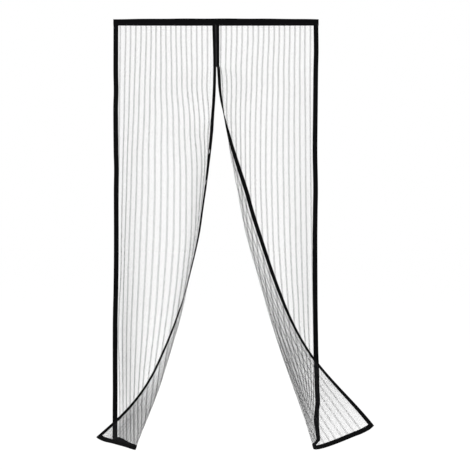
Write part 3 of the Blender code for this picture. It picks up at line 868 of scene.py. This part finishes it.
half = TOP_FASTENING_WIDTH / 2
outline = strip_outline(-half, half, FASTENING_THICKNESS, 0.0)
end = SCREEN_WIDTH / 2 - FASTENING_INSET
acrosses = np.linspace(-end, end, TOP_FASTENING_RINGS)
points = np.stack(
    np.broadcast_arrays(acrosses[:, None], -outline[:, 1], outline[:, 0]), axis=2
)
strip = tape_piece("top_loop_tape", points, loop_finish, acrosses, outline)
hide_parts("top_fastening_tape")
for side_name, panel in PANELS.items():
    near = (SIDE_BAND - SIDE_FASTENING_WIDTH) / 2
    outline = strip_outline(
        near, near + SIDE_FASTENING_WIDTH, FASTENING_THICKNESS - FASTENING_BACK, -FASTENING_BACK
    )
    downs = np.linspace(TOP_BAND + FASTENING_INSET, HEM_TOP, SIDE_FASTENING_RINGS)[:, None]
    points = panel.point(outline[:, 0], downs, outline[:, 1])
    strip = tape_piece(
        f"{side_name}_loop_tape", points, loop_finish, downs[:, 0], outline
    )
    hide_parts(f"{side_name}_fastening_tape")


# The sewing: black thread in short stitches. One row runs along each tape near its inner edge,
# one slants along the net just inside each free edge, two cross the net under the top tape, and
# close satin stitch joins the two centre tapes edge to edge above the parting.
STITCH_LENGTH = 0.0030
STITCH_PITCH = 0.0042
STITCH_THREAD = 0.00045
NET_STITCH_THREAD = 0.00035
EDGE_STITCH_THREAD = 0.0007
SATIN_PITCH = 0.0010
SATIN_LENGTH = 0.0070
STITCH_SHAPE = ((-0.5, 0.35), (-0.3, 1.0), (0.3, 1.0), (0.5, 0.35))
STITCH_SIDES = 4
STITCH_HEIGHT = 0.93
TOP_STITCH_HEIGHT = 0.95
SATIN_HEIGHT = 0.8
SATIN_BELOW_TOP = 0.002
ROW_SHORT_OF_END = 0.004
HEM_ROW_SHORT = 0.002
SIDE_SEWN_IN = 0.0030
TOP_SEWN_IN = 0.0032
SEWN_IN = 0.0026
EDGE_ROW_IN = 0.0065
EDGE_ROW_SLANT = (0.8, 0.6)
NET_ROWS_UNDER_TOP = (0.012, 0.025)
SEWING_TONES = ((0.005, 0.005, 0.006), (0.020, 0.020, 0.022))

stitch_finish, nodes, links = new_finish("sewing_thread")
thread = nodes["Principled BSDF"]
thread.inputs["Roughness"].default_value = 0.6
thread.inputs["Specular IOR Level"].default_value = 0.2
place = nodes.new("ShaderNodeTexCoord")
plies = nodes.new("ShaderNodeTexWave")
plies.bands_direction = "DIAGONAL"
plies.inputs["Scale"].default_value = 900
links.new(place.outputs["Object"], plies.inputs["Vector"])
tone = two_tones(nodes, links, plies.outputs["Fac"], *SEWING_TONES)
links.new(tone, thread.inputs["Base Color"])
relief(nodes, links, thread, plies.outputs["Fac"], 0.5, 0.0001)


def stitches(name, rows, thickness):
    """Rows of stitches: each a small square bar from one thread hole to the next."""
    places, ahead, beside, outward = (np.concatenate(parts) for parts in zip(*rows))
    turn = np.radians(45 + np.arange(STITCH_SIDES) * 90.0)[:, None]
    rings = []
    for along, wide in STITCH_SHAPE:
        spoke = beside[:, None] * np.cos(turn) + outward[:, None] * np.sin(turn)
        rings.append((places + ahead * along)[:, None] + spoke * thickness / 2 * wide)
    points = np.stack(rings, axis=1).reshape(-1, 3)
    faces = tube_faces(len(places), len(STITCH_SHAPE), STITCH_SIDES)
    return shown_piece(name, points, faces, stitch_finish)


def sewn_row(panel, across, down, heading, out):
    """The middle, direction and sides of each stitch of a row along a panel's cloth."""
    across, down = np.broadcast_arrays(across, down)
    reach = STITCH_LENGTH / 2
    start = panel.point(across - heading[0] * reach, down - heading[1] * reach, out)
    end = panel.point(across + heading[0] * reach, down + heading[1] * reach, out)
    ahead = end - start
    outward = panel.read(panel.normals, across, down)
    beside = np.cross(ahead / np.linalg.norm(ahead, axis=1, keepdims=True), outward)
    return panel.point(across, down, out), ahead, beside, outward


def flat_rows(across, up, out, length):
    """The same for a row on both faces of a tape that hangs flat, and for stitches this long."""
    across, up = np.broadcast_arrays(across, up)
    each = np.ones((len(across), 1))
    rows = []
    for face in (1, -1):
        middle = np.stack([across, -each[:, 0] * (CLOTH_FORWARD + face * out), up], axis=1)
        rows.append((middle, each * (length, 0, 0), each * (0, 0, 1), each * (0, -face, 0)))
    return rows


for side_name, panel in PANELS.items():
    first = TOP_BAND + ROW_SHORT_OF_END
    tape_row = np.arange(first, SCREEN_LENGTH - ROW_SHORT_OF_END, STITCH_PITCH)
    edge_row = np.arange(first, HEM_TOP - ROW_SHORT_OF_END, STITCH_PITCH)
    hem_row = np.arange(SIDE_BAND + HEM_ROW_SHORT, CENTRE_EDGE - HEM_ROW_SHORT, STITCH_PITCH)
    rows = []
    for out in (TAPE_HALF * STITCH_HEIGHT, -TAPE_HALF * STITCH_HEIGHT):
        rows.append(sewn_row(panel, SIDE_BAND - SIDE_SEWN_IN, tape_row, (0, 1), out))
        rows.append(sewn_row(panel, CENTRE_EDGE + SEWN_IN, tape_row, (0, 1), out))
        rows.append(sewn_row(panel, hem_row, HEM_TOP + SEWN_IN, (1, 0), out))
    stitches(f"{side_name}_tape_stitches", rows, STITCH_THREAD)
    rows = [sewn_row(panel, CENTRE_EDGE - EDGE_ROW_IN, edge_row, EDGE_ROW_SLANT, 0.0)]
    stitches(f"{side_name}_edge_stitches", rows, EDGE_STITCH_THREAD)
    rows = []
    for under in NET_ROWS_UNDER_TOP:
        rows.append(sewn_row(panel, hem_row, TOP_BAND + under, (1, 0), 0.0))
    stitches(f"{side_name}_net_stitches", rows, NET_STITCH_THREAD)

end = SCREEN_WIDTH / 2 - ROW_SHORT_OF_END
top_row = np.arange(-end, end, STITCH_PITCH)
level = TOP_UP - TOP_BAND + TOP_SEWN_IN
rows = flat_rows(top_row, level, TOP_HALF * TOP_STITCH_HEIGHT, STITCH_LENGTH)
stitches("top_tape_stitches", rows, STITCH_THREAD)

satin_row = np.arange(TOP_BAND + SATIN_BELOW_TOP, SEAM_LENGTH, SATIN_PITCH)
drift = SEAM_DRIFT * eased(satin_row / DRIFT_GROWS)
rows = flat_rows(drift, TOP_UP - satin_row, SLEEVE_HALF * SATIN_HEIGHT, SATIN_LENGTH)
stitches("seam_stitches", rows, SATIN_PITCH)
